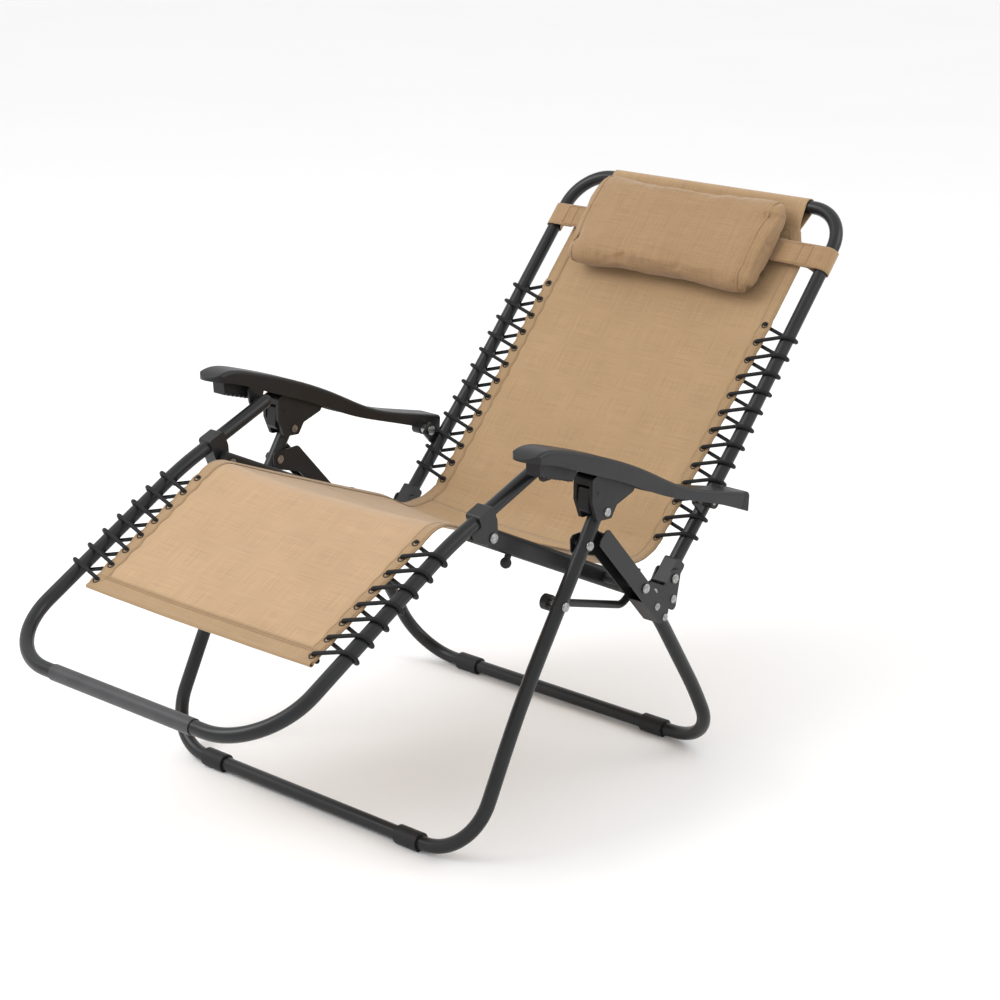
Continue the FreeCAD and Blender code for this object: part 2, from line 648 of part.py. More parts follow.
def seat():
    save_pair("seat_rail", seat_rail())
    save_pair("rear_bracket", rear_bracket())
    rivets = [headed_pin(side, 253.0, 298.7, 4.0, 7.0, 1.8) for side in (RAIL_RIVET, RAIL_END)]
    save_group("rail_rivets", rivets)
    y, z = heading(FOOT_PIVOT, RAIL_END)
    front = offset(FOOT_PIVOT, RAIL_END, -12.0, 0.0)
    rear = offset(RAIL_END, FOOT_PIVOT, -12.0, 0.0)
    save_group("rail_end_plugs", [rail_plug(front, (y, z)), rail_plug(rear, (-y, -z))])
    save_group("rail_bumpers", [bumper()])
    save_group("seat_pivot_pins", [headed_pin(SEAT_PIVOT, 253.0, 345.5, PIN_R, 8.0, 3.0)])
    bush = cross_pin(SEAT_PIVOT, 267.2, 300.0, 8.0).fuse(cross_pin(SEAT_PIVOT, 300.0, 314.0, 14.0))
    save_group("seat_pivot_bushes", [bush.cut(cross_pin(SEAT_PIVOT, 250.0, 320.0, PIN_R))])
    save("seat_sling", seat_sling())


def footrest():
    save("footrest_frame", tube(footrest_path(), FOOTREST_BENDS))
    save_pair("knee_bracket", knee_bracket())
    save_group("foot_pivot_pins", [headed_pin(FOOT_PIVOT, 252.6, 297.0, PIN_R, 8.0, 3.0)])
    sleeve = cross_pin(FOOT_BAR, -150.0, 150.0, TUBE_R + 1.5).cut(cross_pin(FOOT_BAR, -151.0, 151.0, TUBE_R))
    save("foot_bar_sleeve", sleeve)
    cap = Part.makeSphere(TUBE_R, at(FRAME_X, LINK_TOP))
    y, z = heading(KNEE, LINK_TOP)
    below = Part.makeCylinder(20.0, 40.0, at(FRAME_X, LINK_TOP), V(0, -y, -z))
    save_group("link_caps", [cap.cut(below)])
    save("foot_sling", foot_sling())
    save_pair("foot_lace", lace(FOOT_PATH, FOOT_FIRST, FOOT_LACES))


def backrest():
    frame = tube(back_path(), BACK_BENDS)
    save("backrest_frame", frame.cut(cross_pin(BACK_PIVOT, -400.0, 400.0, PIN_R + RUN_FIT)))
    save_pair("back_lug", back_lug())
    save_pair("arm_ear", arm_ear())
    save_group("back_pivot_pins", [headed_pin(BACK_PIVOT, 266.9, 299.0, PIN_R, 8.0, 3.0)])
    save("back_sling", back_sling())
    save_pair("back_lace", lace(BACK_PATH, BACK_FIRST, BACK_LACES))
    save("headrest_pillow", pillow())
    save_group("headrest_straps", [headrest_strap()])


def armrests():
    arm, cap = split_arm()
    save_pair("armrest", arm)
    save_pair("armrest_end_cap", cap)
    save_pair("armrest_rack", arm_rack(arm))
    pin = headed_pin(ARM_PIVOT, 286.6, 321.0, PIN_R, PIN_R - 0.5, 0.5)
    collar = cross_pin(ARM_PIVOT, 292.4, 303.6, 8.0)
    head = cross_pin(ARM_PIVOT, 284.0, 286.6, 8.0)
    save_group("arm_pivot_pins", [pin.fuse([collar, head]).removeSplitter()])
    save_pair("lock_housing", lock_housing())
    save_pair("lock_pin", headed_pin(LOCK_PIVOT, 312.0, 348.0, 4.0, 7.0, 2.4))
    save_pair("lock_lever", lock_lever())


legs()
seat()
footrest()
backrest()
armrests()
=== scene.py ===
"""Looks for the zero gravity recliner: slings, cushion, straps, stitching and materials on the frame."""
import json
import math

import bmesh
import bpy
from mathutils import Matrix, Vector, noise


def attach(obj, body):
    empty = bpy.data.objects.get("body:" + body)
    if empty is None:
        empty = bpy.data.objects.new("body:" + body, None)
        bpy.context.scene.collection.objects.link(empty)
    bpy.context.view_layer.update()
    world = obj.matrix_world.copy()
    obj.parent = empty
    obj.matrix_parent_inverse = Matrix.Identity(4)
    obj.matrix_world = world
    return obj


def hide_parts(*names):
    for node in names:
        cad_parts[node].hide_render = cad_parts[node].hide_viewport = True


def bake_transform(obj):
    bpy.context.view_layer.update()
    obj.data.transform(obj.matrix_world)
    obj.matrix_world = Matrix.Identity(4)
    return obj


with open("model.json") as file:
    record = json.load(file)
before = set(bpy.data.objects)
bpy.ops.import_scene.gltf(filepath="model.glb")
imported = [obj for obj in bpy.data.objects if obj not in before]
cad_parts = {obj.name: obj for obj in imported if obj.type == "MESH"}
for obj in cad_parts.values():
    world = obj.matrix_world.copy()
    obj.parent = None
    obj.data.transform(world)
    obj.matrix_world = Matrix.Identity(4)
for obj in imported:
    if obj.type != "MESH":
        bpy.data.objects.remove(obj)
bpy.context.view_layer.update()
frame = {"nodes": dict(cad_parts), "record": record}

# Driving dimensions in metres; side positions are (y, z) in the row's frame, as in the CAD.
MM = 0.001
MIDDLE_Y = 0.303


def side(y, z):
    """A side position from the CAD's millimetres."""
    return Vector((0.0, y * MM - MIDDLE_Y, z * MM))


FOOT_BAR = side(-361, 282)
KNEE = side(4, 483)
BACK_FOOT = side(496, 299)
BACK_BOW = side(700, 517)
BACK_TOP = side(967, 822)
FRAME_X = 0.283
TUBE_R = 0.011
SLING_HALF = 0.240
TOP_HALF = 0.205
CLOTH = 0.0016
LACE_PITCH = 0.0335
EYELET_X = 0.231
FOOT_LACES = 8
BACK_LACES = 13
FOOT_HEM = 0.158
FOOT_FIRST = 0.172
BACK_FIRST = 0.076
HEM_WIDTH = 0.022
HEM_LAYER = 0.0009          # height of a turned edge over the cloth
EYELET_RING = 0.0051        # radius of the rolled ring's middle line
EYELET_WIRE = 0.0011
EYELET_LIFT = 0.0019        # of each ring from the cloth's middle
KNOT_SIZE = 0.0017
KNOT_CORD = 0.0021
KNOT_DROP = 0.0075          # of the knots behind the cloth
ROW_STEP = 0.006
COLUMNS = 64
EYELET_SIDES = 20


# ---- Side paths ----

def rounded(points, radii, step):
    """Points every step or so along straight runs joined by tangent arcs."""
    path = [points[0].copy()]

    def run_to(end):
        start = path[-1].copy()
        count = max(1, round((end - start).length / step))
        path.extend(start.lerp(end, (i + 1) / count) for i in range(count))

    for before, here, after, radius in zip(points, points[1:], points[2:], radii):
        back = (before - here).normalized()
        ahead = (after - here).normalized()
        turn = math.pi - back.angle(ahead)
        reach = radius * math.tan(turn / 2)
        centre = here + (back + ahead).normalized() * (radius / math.cos(turn / 2))
        run_to(here + back * reach)
        first = path[-1] - centre
        axis = first.cross(here + ahead * reach - centre).normalized()
        count = max(2, round(radius * turn / step))
        for i in range(count):
            path.append(centre + Matrix.Rotation(turn * (i + 1) / count, 3, axis) @ first)
    run_to(points[-1])
    return path


def lengths(path):
    """Distance of each point along the path."""
    total = [0.0]
    for a, b in zip(path, path[1:]):
        total.append(total[-1] + (b - a).length)
    return total


def upward(path):
    """The cloth's front-facing normal at each point."""
    normals = []
    for i in range(len(path)):
        ahead = (path[min(i + 1, len(path) - 1)] - path[max(i - 1, 0)]).normalized()
        normals.append(Vector((0.0, -ahead.z, ahead.y)))
    return normals


FOOT_AHEAD = (KNEE - FOOT_BAR).normalized()
BACK_AHEAD = (BACK_BOW - BACK_FOOT).normalized()
TOP_AHEAD = (BACK_TOP - BACK_BOW).normalized()
TOP_UP = Vector((0.0, -TOP_AHEAD.z, TOP_AHEAD.y))
BACK_LENGTH = (BACK_BOW - BACK_FOOT).length + (BACK_TOP - BACK_BOW).length
HEM = FOOT_BAR + FOOT_AHEAD * FOOT_HEM
HIP = BACK_FOOT + BACK_AHEAD * 0.0595
SLEEVE_R = TUBE_R + 0.0022
SLEEVE_TAIL = 0.048


def sleeve_path():
    """From below the top bar, over the bar and down its back to the seam."""
    points = []
    reach = math.acos(SLEEVE_R / SLEEVE_TAIL)
    turns = 18
    for i in range(turns + 1):
        angle = -math.pi + reach + (2 * math.pi - 2 * reach) * i / turns
        points.append(BACK_TOP + (TOP_AHEAD * math.cos(angle) - TOP_UP * math.sin(angle)) * SLEEVE_R)
    seam = BACK_TOP - TOP_AHEAD * SLEEVE_TAIL - TOP_UP * 0.0022
    last = points[-1]
    points += [last.lerp(seam, (i + 1) / 6) for i in range(6)]
    return points


def sling_path():
    """The whole sling in one line, from the front hem to the sleeve's seam."""
    corners = [HEM, side(34, 499.5), side(405, 357), side(455, 329), side(505, 331), HIP, BACK_BOW]
    corners.append(BACK_TOP - TOP_AHEAD * SLEEVE_TAIL)
    path = rounded(corners, [0.05, 0.15, 0.055, 0.07, 0.04, 2.5], ROW_STEP)
    sleeve = sleeve_path()
    bridge = [path[-1].lerp(sleeve[0], (i + 1) / 6) for i in range(5)]
    return path + bridge + sleeve


PATH = sling_path()
PATH_S = lengths(PATH)
PATH_UP = upward(PATH)


def nearest(point):
    """Index of the path's row nearest a side position."""
    return min(range(len(PATH)), key=lambda i: (PATH[i] - point).length)


def nearest_row(s):
    """Index of the path's row nearest a distance along it."""
    return min(range(len(PATH_S)), key=lambda i: abs(PATH_S[i] - s))


FOOT_LACED = PATH_S[nearest(FOOT_BAR + FOOT_AHEAD * FOOT_FIRST)]
BACK_LACED = PATH_S[nearest(BACK_FOOT + BACK_AHEAD * BACK_FIRST)]
SHOULDER = PATH_S[nearest(BACK_TOP - TOP_AHEAD * 0.115)]
SLEEVE = PATH_S[nearest(BACK_TOP - TOP_AHEAD * SLEEVE_TAIL)]
KNEE_SPLIT = nearest(side(62, 487))
SEAT_SPLIT = nearest(side(240, 420))
HIP_SPLIT = nearest(side(505, 333))


def smooth(low, high, value):
    t = min(1.0, max(0.0, (value - low) / (high - low)))
    return t * t * (3 - 2 * t)


def pull(s):
    """How hard the laces pull at a distance along the sling: 1 at an eyelet, 0 between, 0.5 unlaced."""
    for first, count in ((FOOT_LACED, FOOT_LACES), (BACK_LACED, BACK_LACES)):
        if first - LACE_PITCH / 2 < s < first + (count - 0.5) * LACE_PITCH:
            return 0.5 + 0.5 * math.cos(2 * math.pi * (s - first) / LACE_PITCH)
    return 0.5


def half_width(s):
    """Half the sling's width, scalloped between eyelets and drawn in towards the sleeve."""
    scallop = 0.0028 * (0.5 - pull(s))
    return SLING_HALF - scallop - (SLING_HALF - TOP_HALF) * smooth(SHOULDER, SLEEVE + 0.02, s)


def rise(s, x, half):
    """How far the cloth lies off its path: a soft belly, pulls at the eyelets and small unevenness."""
    across = x / half
    seat = smooth(0.20, 0.45, s) * (1 - smooth(0.78, 1.0, s))
    belly = (0.004 + 0.011 * seat) * (1 - smooth(SLEEVE - 0.05, SLEEVE, s))
    near_edge = math.exp(-(half - abs(x)) / 0.028)
    pulled = 0.0011 * (pull(s) - 0.5) * near_edge
    uneven = 0.0016 * noise.noise(Vector((x * 7, s * 5, 3.1))) * (1 - across ** 4)
    fine = 0.0004 * noise.noise(Vector((x * 26, s * 12, 8.4)))
    loose = 1 - smooth(SLEEVE - 0.03, SLEEVE, s)
    return -belly * (1 - across * across) + pulled + (uneven + fine) * loose


def sling_point(row, x, lift=0.0):
    """A point of the sling at a path row, an x and a height above the cloth's middle."""
    half = half_width(PATH_S[row])
    x = max(-half, min(half, x))
    return PATH[row] + Vector((x, 0, 0)) + PATH_UP[row] * (rise(PATH_S[row], x, half) + lift)


# ---- Mesh helpers ----

def add_object(name, verts, faces, material, uvs=None):
    mesh = bpy.data.meshes.new(name)
    mesh.from_pydata([tuple(v) for v in verts], [], faces)
    if uvs is not None:
        layer = mesh.uv_layers.new(name="UVMap")
        for loop in mesh.loops:
            layer.data[loop.index].uv = uvs[loop.vertex_index]
    mesh.materials.append(material)
    mesh.validate()
    for polygon in mesh.polygons:
        polygon.use_smooth = True
    piece = bpy.data.objects.new(name, mesh)
    bpy.context.scene.collection.objects.link(piece)
    return piece


def grid_faces(rows, columns, base=0, closed=False):
    """Quads between neighbouring rows; closed joins the last column to the first."""
    faces = []
    for i in range(rows - 1):
        for j in range(columns if closed else columns - 1):
            k = (j + 1) % columns
            low = base + i * columns
            faces.append((low + j, low + k, low + columns + k, low + columns + j))
    return faces


def thicken(piece, thickness):
    modifier = piece.modifiers.new("thickness", "SOLIDIFY")
    modifier.thickness = thickness
    modifier.offset = 0.0
    modifier.use_even_offset = True


def frames_along(points):
    """A side and an up direction at each point of a polyline, turning as little as possible."""
    result = []
    up = Vector((0, 0, 1))
    for i in range(len(points)):
        ahead = (points[min(i + 1, len(points) - 1)] - points[max(i - 1, 0)]).normalized()
        if abs(ahead.dot(up)) > 0.98:
            up = Vector((1, 0, 0))
        across = ahead.cross(up).normalized()
        up = across.cross(ahead).normalized()
        result.append((across, up))
    return result


def add_tube(verts, faces, points, radius, sides=8, closed=False):
    """Adds a round tube along points to the lists."""
    base = len(verts)
    for point, (across, up) in zip(points, frames_along(points)):
        for k in range(sides):
            angle = 2 * math.pi * k / sides
            verts.append(point + (across * math.cos(angle) + up * math.sin(angle)) * radius)
    faces.extend(grid_faces(len(points), sides, base, closed=True))
    last = base + (len(points) - 1) * sides
    if closed:
        for k in range(sides):
            after = (k + 1) % sides
            faces.append((last + k, last + after, base + after, base + k))
    else:
        faces.append(tuple(base + k for k in reversed(range(sides))))
        faces.append(tuple(last + k for k in range(sides)))


def add_stitch(verts, faces, a, b, up, width):
    """Adds one raised thread stitch, a low bar with a rounded back."""
    ahead = b - a
    across = ahead.cross(up).normalized() * (width / 2)
    lift = up * (width * 0.75)
    base = len(verts)
    inset = ahead * 0.22
    verts.extend([a - across, a + across, b + across, b - across])
    verts.extend([a + inset - across * 0.5 + lift, a + inset + across * 0.5 + lift])
    verts.extend([b - inset + across * 0.5 + lift, b - inset - across * 0.5 + lift])
    for quad in ((4, 5, 6, 7), (0, 1, 5, 4), (1, 2, 6, 5), (2, 3, 7, 6), (3, 0, 4, 7), (3, 2, 1, 0)):
        faces.append(tuple(base + k for k in quad))


def stitch_line(verts, faces, points, ups, pitch=0.0042, width=0.0011):
    """Stitches at an even pitch along a polyline."""
    total = lengths(points)
    place = pitch * 0.5
    row = 0
    while place + pitch * 0.7 < total[-1]:
        ends = []
        for target in (place, place + pitch * 0.72):
            while row < len(total) - 2 and total[row + 1] < target:
                row += 1
            span = total[row + 1] - total[row]
            ends.append(points[row].lerp(points[row + 1], (target - total[row]) / span))
        add_stitch(verts, faces, ends[0], ends[1], ups[row], width)
        place += pitch


# ---- Material helpers ----

class Nodes:
    """A small builder for procedural materials."""

    def __init__(self, name):
        self.material = bpy.data.materials.new(name)
        self.material.use_nodes = True
        self.tree = self.material.node_tree
        self.shader = self.tree.nodes["Principled BSDF"]

    def node(self, kind, **values):
        made = self.tree.nodes.new(kind)
        for key, value in values.items():
            if key in made.inputs:
                made.inputs[key].default_value = value
            else:
                setattr(made, key, value)
        return made

    def link(self, source, target):
        self.tree.links.new(source, target)

    def math(self, operation, a, b=None):
        made = self.tree.nodes.new("ShaderNodeMath")
        made.operation = operation
        for socket, value in zip(made.inputs, (a, b)):
            if value is None:
                continue
            if isinstance(value, (int, float)):
                socket.default_value = value
            else:
                self.link(value, socket)
        return made.outputs[0]

    def place(self, scale=(1, 1, 1), tilt=0.0, uv=False):
        """Coordinates in metres, from the UV map or from the piece, tilted about X and scaled."""
        source = self.node("ShaderNodeTexCoord").outputs["UV" if uv else "Object"]
        turned = self.node("ShaderNodeMapping", vector_type="POINT")
        turned.inputs["Rotation"].default_value = (tilt, 0, 0)
        self.link(source, turned.inputs["Vector"])
        scaled = self.node("ShaderNodeMapping", vector_type="POINT")
        scaled.inputs["Scale"].default_value = scale
        self.link(turned.outputs[0], scaled.inputs["Vector"])
        return scaled.outputs[0]

    def noise(self, vector, scale, detail=3.0, roughness=0.55):
        made = self.node("ShaderNodeTexNoise", Scale=scale, Detail=detail, Roughness=roughness)
        self.link(vector, made.inputs["Vector"])
        return made.outputs[0]

    def ramp(self, factor, stops):
        made = self.node("ShaderNodeValToRGB")
        elements = made.color_ramp.elements
        while len(elements) < len(stops):
            elements.new(0.5)
        for element, (position, colour) in zip(elements, stops):
            element.position = position
            element.color = (*colour, 1.0)
        self.link(factor, made.inputs[0])
        return made.outputs[0]

    def mix(self, factor, a, b, blend="MIX"):
        made = self.node("ShaderNodeMix", data_type="RGBA", blend_type=blend)
        for socket, value in ((made.inputs[0], factor), (made.inputs[6], a), (made.inputs[7], b)):
            if isinstance(value, (int, float)):
                socket.default_value = value
            elif isinstance(value, tuple):
                socket.default_value = (*value, 1.0)
            else:
                self.link(value, socket)
        return made.outputs[2]

    def bump(self, height, strength, distance):
        made = self.node("ShaderNodeBump", Strength=strength, Distance=distance)
        self.link(height, made.inputs["Height"])
        self.link(made.outputs[0], self.shader.inputs["Normal"])

    def colour(self, socket):
        self.link(socket, self.shader.inputs["Base Color"])

    def rough(self, factor, low, high):
        made = self.node("ShaderNodeMapRange")
        made.inputs["To Min"].default_value = low
        made.inputs["To Max"].default_value = high
        self.link(factor, made.inputs["Value"])
        self.link(made.outputs[0], self.shader.inputs["Roughness"])


def painted(name, dark, light, rough_low, rough_high):
    """Powder coat: fine orange peel and cloudy gloss."""
    n = Nodes(name)
    where = n.place()
    cloud = n.noise(where, 22.0)
    base = n.ramp(cloud, [(0.3, dark), (0.75, light)])
    n.colour(base)
    n.rough(cloud, rough_low, rough_high)
    n.bump(n.noise(where, 1500.0, 2.0), 0.12, 0.0004)
    n.shader.inputs["Specular IOR Level"].default_value = 0.30
    n.shader.inputs["Coat Weight"].default_value = 0.06
    n.shader.inputs["Coat Roughness"].default_value = 0.3
    return n.material


def moulded(name, dark, light, rough_low, rough_high, grain=700.0):
    """Moulded plastic with a fine spark grain."""
    n = Nodes(name)
    where = n.place()
    n.colour(n.ramp(n.noise(where, 14.0), [(0.3, dark), (0.7, light)]))
    n.rough(n.noise(where, 60.0), rough_low, rough_high)
    cells = n.node("ShaderNodeTexVoronoi", Scale=grain)
    n.link(where, cells.inputs["Vector"])
    n.bump(cells.outputs["Distance"], 0.18, 0.0004)
    n.shader.inputs["Specular IOR Level"].default_value = 0.32
    return n.material


def plated(name):
    """Zinc-plated rivet steel with turned rings of fine scratches."""
    n = Nodes(name)
    where = n.place()
    scratches = n.noise(n.place((40, 900, 900)), 3.0)
    n.colour(n.ramp(n.noise(where, 220.0), [(0.35, (0.20, 0.20, 0.20)), (0.65, (0.42, 0.415, 0.405))]))
    n.rough(scratches, 0.22, 0.42)
    n.bump(scratches, 0.08, 0.0003)
    n.shader.inputs["Metallic"].default_value = 1.0
    return n.material


def woven(name, shade, uv=True, tilt=0.0, pitch=0.0021, sheen=0.25):
    """Sling mesh: crossing coated yarns, slubs both ways and pinholes between the yarns."""
    n = Nodes(name)
    where = n.place(uv=uv, tilt=tilt)
    parts = n.node("ShaderNodeSeparateXYZ")
    n.link(where, parts.inputs[0])
    turn = 2 * math.pi / pitch
    across = n.math("SINE", n.math("MULTIPLY", parts.outputs[0], turn))
    along = n.math("SINE", n.math("MULTIPLY", parts.outputs[1], turn))
    weave = n.math("MULTIPLY", across, along)
    crossing = n.math("ADD", n.math("MULTIPLY", weave, 0.5), 0.5)
    warp = n.noise(n.place((14, 1300, 1) if uv else (14, 1300, 1300), tilt, uv), 1.0, 4.0, 0.6)
    weft = n.noise(n.place((1300, 14, 1) if uv else (1300, 14, 14), tilt, uv), 1.0, 4.0, 0.6)
    slub = n.math("ADD", n.math("MULTIPLY", warp, 0.5), n.math("MULTIPLY", weft, 0.5))
    deep = tuple(c * 0.80 for c in shade)
    pale = tuple(min(1.0, c * 1.12) for c in shade)
    yarn = n.ramp(slub, [(0.40, deep), (0.5, shade), (0.62, pale)])
    mottled = n.ramp(n.noise(where, 9.0), [(0.3, (0.93, 0.92, 0.90)), (0.7, (1.0, 1.0, 1.0))])
    yarn = n.mix(1.0, yarn, mottled, "MULTIPLY")
    holes = n.ramp(crossing, [(0.0, (0.70, 0.68, 0.65)), (0.35, (1, 1, 1))])
    n.colour(n.mix(1.0, yarn, holes, "MULTIPLY"))
    n.rough(slub, 0.62, 0.82)
    height = n.math("ADD", n.math("MULTIPLY", weave, 0.7), n.math("MULTIPLY", slub, 0.8))
    n.bump(height, 0.35, 0.0006)
    n.shader.inputs["Sheen Weight"].default_value = sheen
    n.shader.inputs["Sheen Roughness"].default_value = 0.45
    n.shader.inputs["Specular IOR Level"].default_value = 0.3
    return n.material


def braided(name):
    """Elastic cord with a braided black cover."""
    n = Nodes(name)
    where = n.place()
    parts = n.node("ShaderNodeSeparateXYZ")
    n.link(where, parts.inputs[0])
    slope = n.math("ADD", parts.outputs[1], parts.outputs[2])
    one = n.math("SINE", n.math("MULTIPLY", n.math("ADD", slope, parts.outputs[0]), 2600.0))
    two = n.math("SINE", n.math("MULTIPLY", n.math("SUBTRACT", slope, parts.outputs[0]), 2600.0))
    braid = n.math("MULTIPLY", one, two)
    n.colour(n.ramp(n.math("ADD", n.math("MULTIPLY", braid, 0.5), 0.5),
                    [(0.1, (0.006, 0.006, 0.0065)), (0.9, (0.018, 0.018, 0.019))]))
    n.rough(n.noise(where, 300.0), 0.5, 0.75)
    n.bump(braid, 0.4, 0.0005)
    n.shader.inputs["Specular IOR Level"].default_value = 0.22
    return n.material


def thread(name, shade):
    n = Nodes(name)
    where = n.place()
    fuzz = n.noise(where, 1800.0)
    n.colour(n.ramp(fuzz, [(0.3, tuple(c * 0.7 for c in shade)), (0.7, shade)]))
    n.rough(fuzz, 0.5, 0.8)
    n.bump(fuzz, 0.3, 0.0002)
    return n.material


# The foot's weave colour is painted lighter than the back's, for the light falling on the foot.
FOOT_PAINTED_LIGHT = (0.46, 0.302, 0.170)
# The seat's weave colour is painted darker than the back's, for the shadow on the seat.
SEAT_PAINTED_SHADOW = (0.40, 0.254, 0.123)
BACK_SHADE = (0.405, 0.265, 0.140)
PILLOW_SHADE = (0.345, 0.216, 0.110)
STRAP_SHADE = tuple(c * 1.02 for c in PILLOW_SHADE)
FINE_PITCH = 0.0017           # yarn pitch of the cushion and straps
BACK_TILT = -math.atan2(TOP_AHEAD.z, TOP_AHEAD.y)

cloth = {
    # Foot weave: its colour holds painted light.
    "foot": woven("foot_weave_painted_light", FOOT_PAINTED_LIGHT),
    # Seat weave: its colour holds painted shadow.
    "seat": woven("seat_weave_painted_shadow", SEAT_PAINTED_SHADOW),
    "back": woven("back_weave", BACK_SHADE),
}
hem_cloth = woven("hem_weave", tuple(c * 0.92 for c in BACK_SHADE))
pillow_cloth = woven("pillow_weave", PILLOW_SHADE, uv=False, tilt=BACK_TILT, pitch=FINE_PITCH)
strap_cloth = woven("strap_weave", STRAP_SHADE, uv=False, tilt=BACK_TILT, pitch=FINE_PITCH)
seam_thread = thread("seam_thread", (0.42, 0.27, 0.14))
eyelet_metal = painted("eyelet_enamel", (0.013, 0.013, 0.014), (0.026, 0.026, 0.028), 0.3, 0.45)
cord = braided("lace_braid")


# ---- The sling, in four pieces that meet at the knee and the hip ----

def sling_panel(name, material, first, last):
    """A stretch of the sling between two path rows."""
    verts = []
    uvs = []
    for row in range(first, last + 1):
        half = half_width(PATH_S[row])
        for j in range(COLUMNS + 1):
            t = 2 * j / COLUMNS - 1
            x = half * (0.8 * t + 0.2 * math.sin(t * math.pi / 2))
            verts.append(sling_point(row, x))
            uvs.append((x, PATH_S[row]))
    piece = add_object(name, verts, grid_faces(last - first + 1, COLUMNS + 1), material, uvs)
    thicken(piece, CLOTH)
    return piece


def side_hems(name, first, last):
    """The turned edges of the sling: a second layer of cloth folded round each side."""
    above = [(-HEM_WIDTH, 1.0), (-HEM_WIDTH * 0.5, 1.12), (-0.004, 1.1), (0.0006, 0.7)]
    profile = above + [(0.0014, 0.0)] + [(inward, -level) for inward, level in reversed(above)]
    layer = CLOTH / 2 + HEM_LAYER
    verts = []
    uvs = []
    faces = []
    for sign in (-1, 1):
        base = len(verts)
        for row in range(first, last + 1):
            half = half_width(PATH_S[row])
            for inward, level in profile:
                body = sling_point(row, sign * min(half, half + inward), level * layer)
                body.x = sign * (half + inward)
                verts.append(body)
                uvs.append((half + inward, PATH_S[row] + 0.001))
        strip = grid_faces(last - first + 1, len(profile), base)
        faces.extend(strip if sign > 0 else [face[::-1] for face in strip])
    return add_object(name, verts, faces, hem_cloth, uvs)


def side_stitches(name, first, last):
    """Two rows of stitches along each turned edge, on the front of the cloth."""
    verts = []
    faces = []
    rows = range(first, last + 1)
    for sign in (-1, 1):
        for inward in (0.0035, HEM_WIDTH - 0.003):
            points = []
            for row in rows:
                half = half_width(PATH_S[row])
                points.append(sling_point(row, sign * (half - inward), CLOTH / 2 + HEM_LAYER))
            stitch_line(verts, faces, points, [PATH_UP[row] for row in rows])
    return add_object(name, verts, faces, seam_thread)


def eyelets(name, first_s, count):
    """Rolled metal eyelets along both edges, seen on both faces of the cloth."""
    verts = []
    faces = []
    for index in range(count):
        target = first_s + index * LACE_PITCH
        row = nearest_row(target)
        along = target - PATH_S[row]
        ahead = Vector((0.0, PATH_UP[row].z, -PATH_UP[row].y))
        for sign in (-1, 1):
            centre = sling_point(row, sign * EYELET_X) + ahead * along
            for face in (-1, 1):
                ring = []
                for k in range(EYELET_SIDES):
                    angle = 2 * math.pi * k / EYELET_SIDES
                    spoke = Vector((math.cos(angle), 0, 0)) + ahead * math.sin(angle)
                    ring.append(centre + spoke * EYELET_RING + PATH_UP[row] * (face * EYELET_LIFT))
                add_tube(verts, faces, ring, EYELET_WIRE, 8, closed=True)
    return add_object(name, verts, faces, eyelet_metal)


def cross_stitches(name, rows, half_of):
    """Rows of stitches across the sling, on its front."""
    verts = []
    faces = []
    for row in rows:
        half = half_of(row)
        count = 80
        points = [sling_point(row, half * (2 * i / count - 1), CLOTH / 2) for i in range(count + 1)]
        stitch_line(verts, faces, points, [PATH_UP[row]] * (count + 1))
    return add_object(name, verts, faces, seam_thread)


KNEE_BLEND = ("seat_frame", "footrest", side(190, 440), side(-12, 478))
HIP_BLEND = ("seat_frame", "backrest", side(360, 375), side(575, 392))

# Stretches of the sling: shade (which copy of the weave; the foot's holds painted light, the seat's painted
# shadow), CAD node replaced, slot, tubes it hangs from, blend, first and last row.
STRETCHES = {
    "foot": ("foot", "foot_sling", "foot_cloth", "footrest_frame", KNEE_BLEND, 0, KNEE_SPLIT),
    "seat_front": ("seat", "seat_sling", "seat_cloth", "footrest_frame", KNEE_BLEND, KNEE_SPLIT, SEAT_SPLIT),
    "seat_rear": ("seat", "seat_sling", "seat_cloth", "backrest_frame", HIP_BLEND, SEAT_SPLIT, HIP_SPLIT),
    "back": ("back", "back_sling", "back_cloth", "backrest_frame", HIP_BLEND, HIP_SPLIT, len(PATH) - 1),
}


def sleeve_stitches():
    rows = [nearest_row(SLEEVE - inward) for inward in (0.002, 0.009)]
    return cross_stitches("sleeve_stitches", rows, lambda row: half_width(PATH_S[row]) - 0.004)


def add_stretch(part):
    """One stretch of the sling with its turned edges, stitches and fittings."""
    shade, node, slot_name, tubes, blend, first, last = STRETCHES[part]
    panel = sling_panel(part + "_panel", cloth[shade], first, last)
    hemmed = nearest_row(SLEEVE) if part == "back" else last
    extras = [side_hems(part + "_side_hems", first, hemmed)]
    extras.append(side_stitches(part + "_side_stitches", first, hemmed))
    if part == "foot":
        extras.append(eyelets("foot_eyelets", FOOT_LACED, FOOT_LACES))
        extras.append(front_hem())
    if part == "back":
        extras.append(eyelets("back_eyelets", BACK_LACED, BACK_LACES))
        extras.append(sleeve_stitches())
    for piece in [panel] + extras:
        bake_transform(piece)
    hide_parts(node)


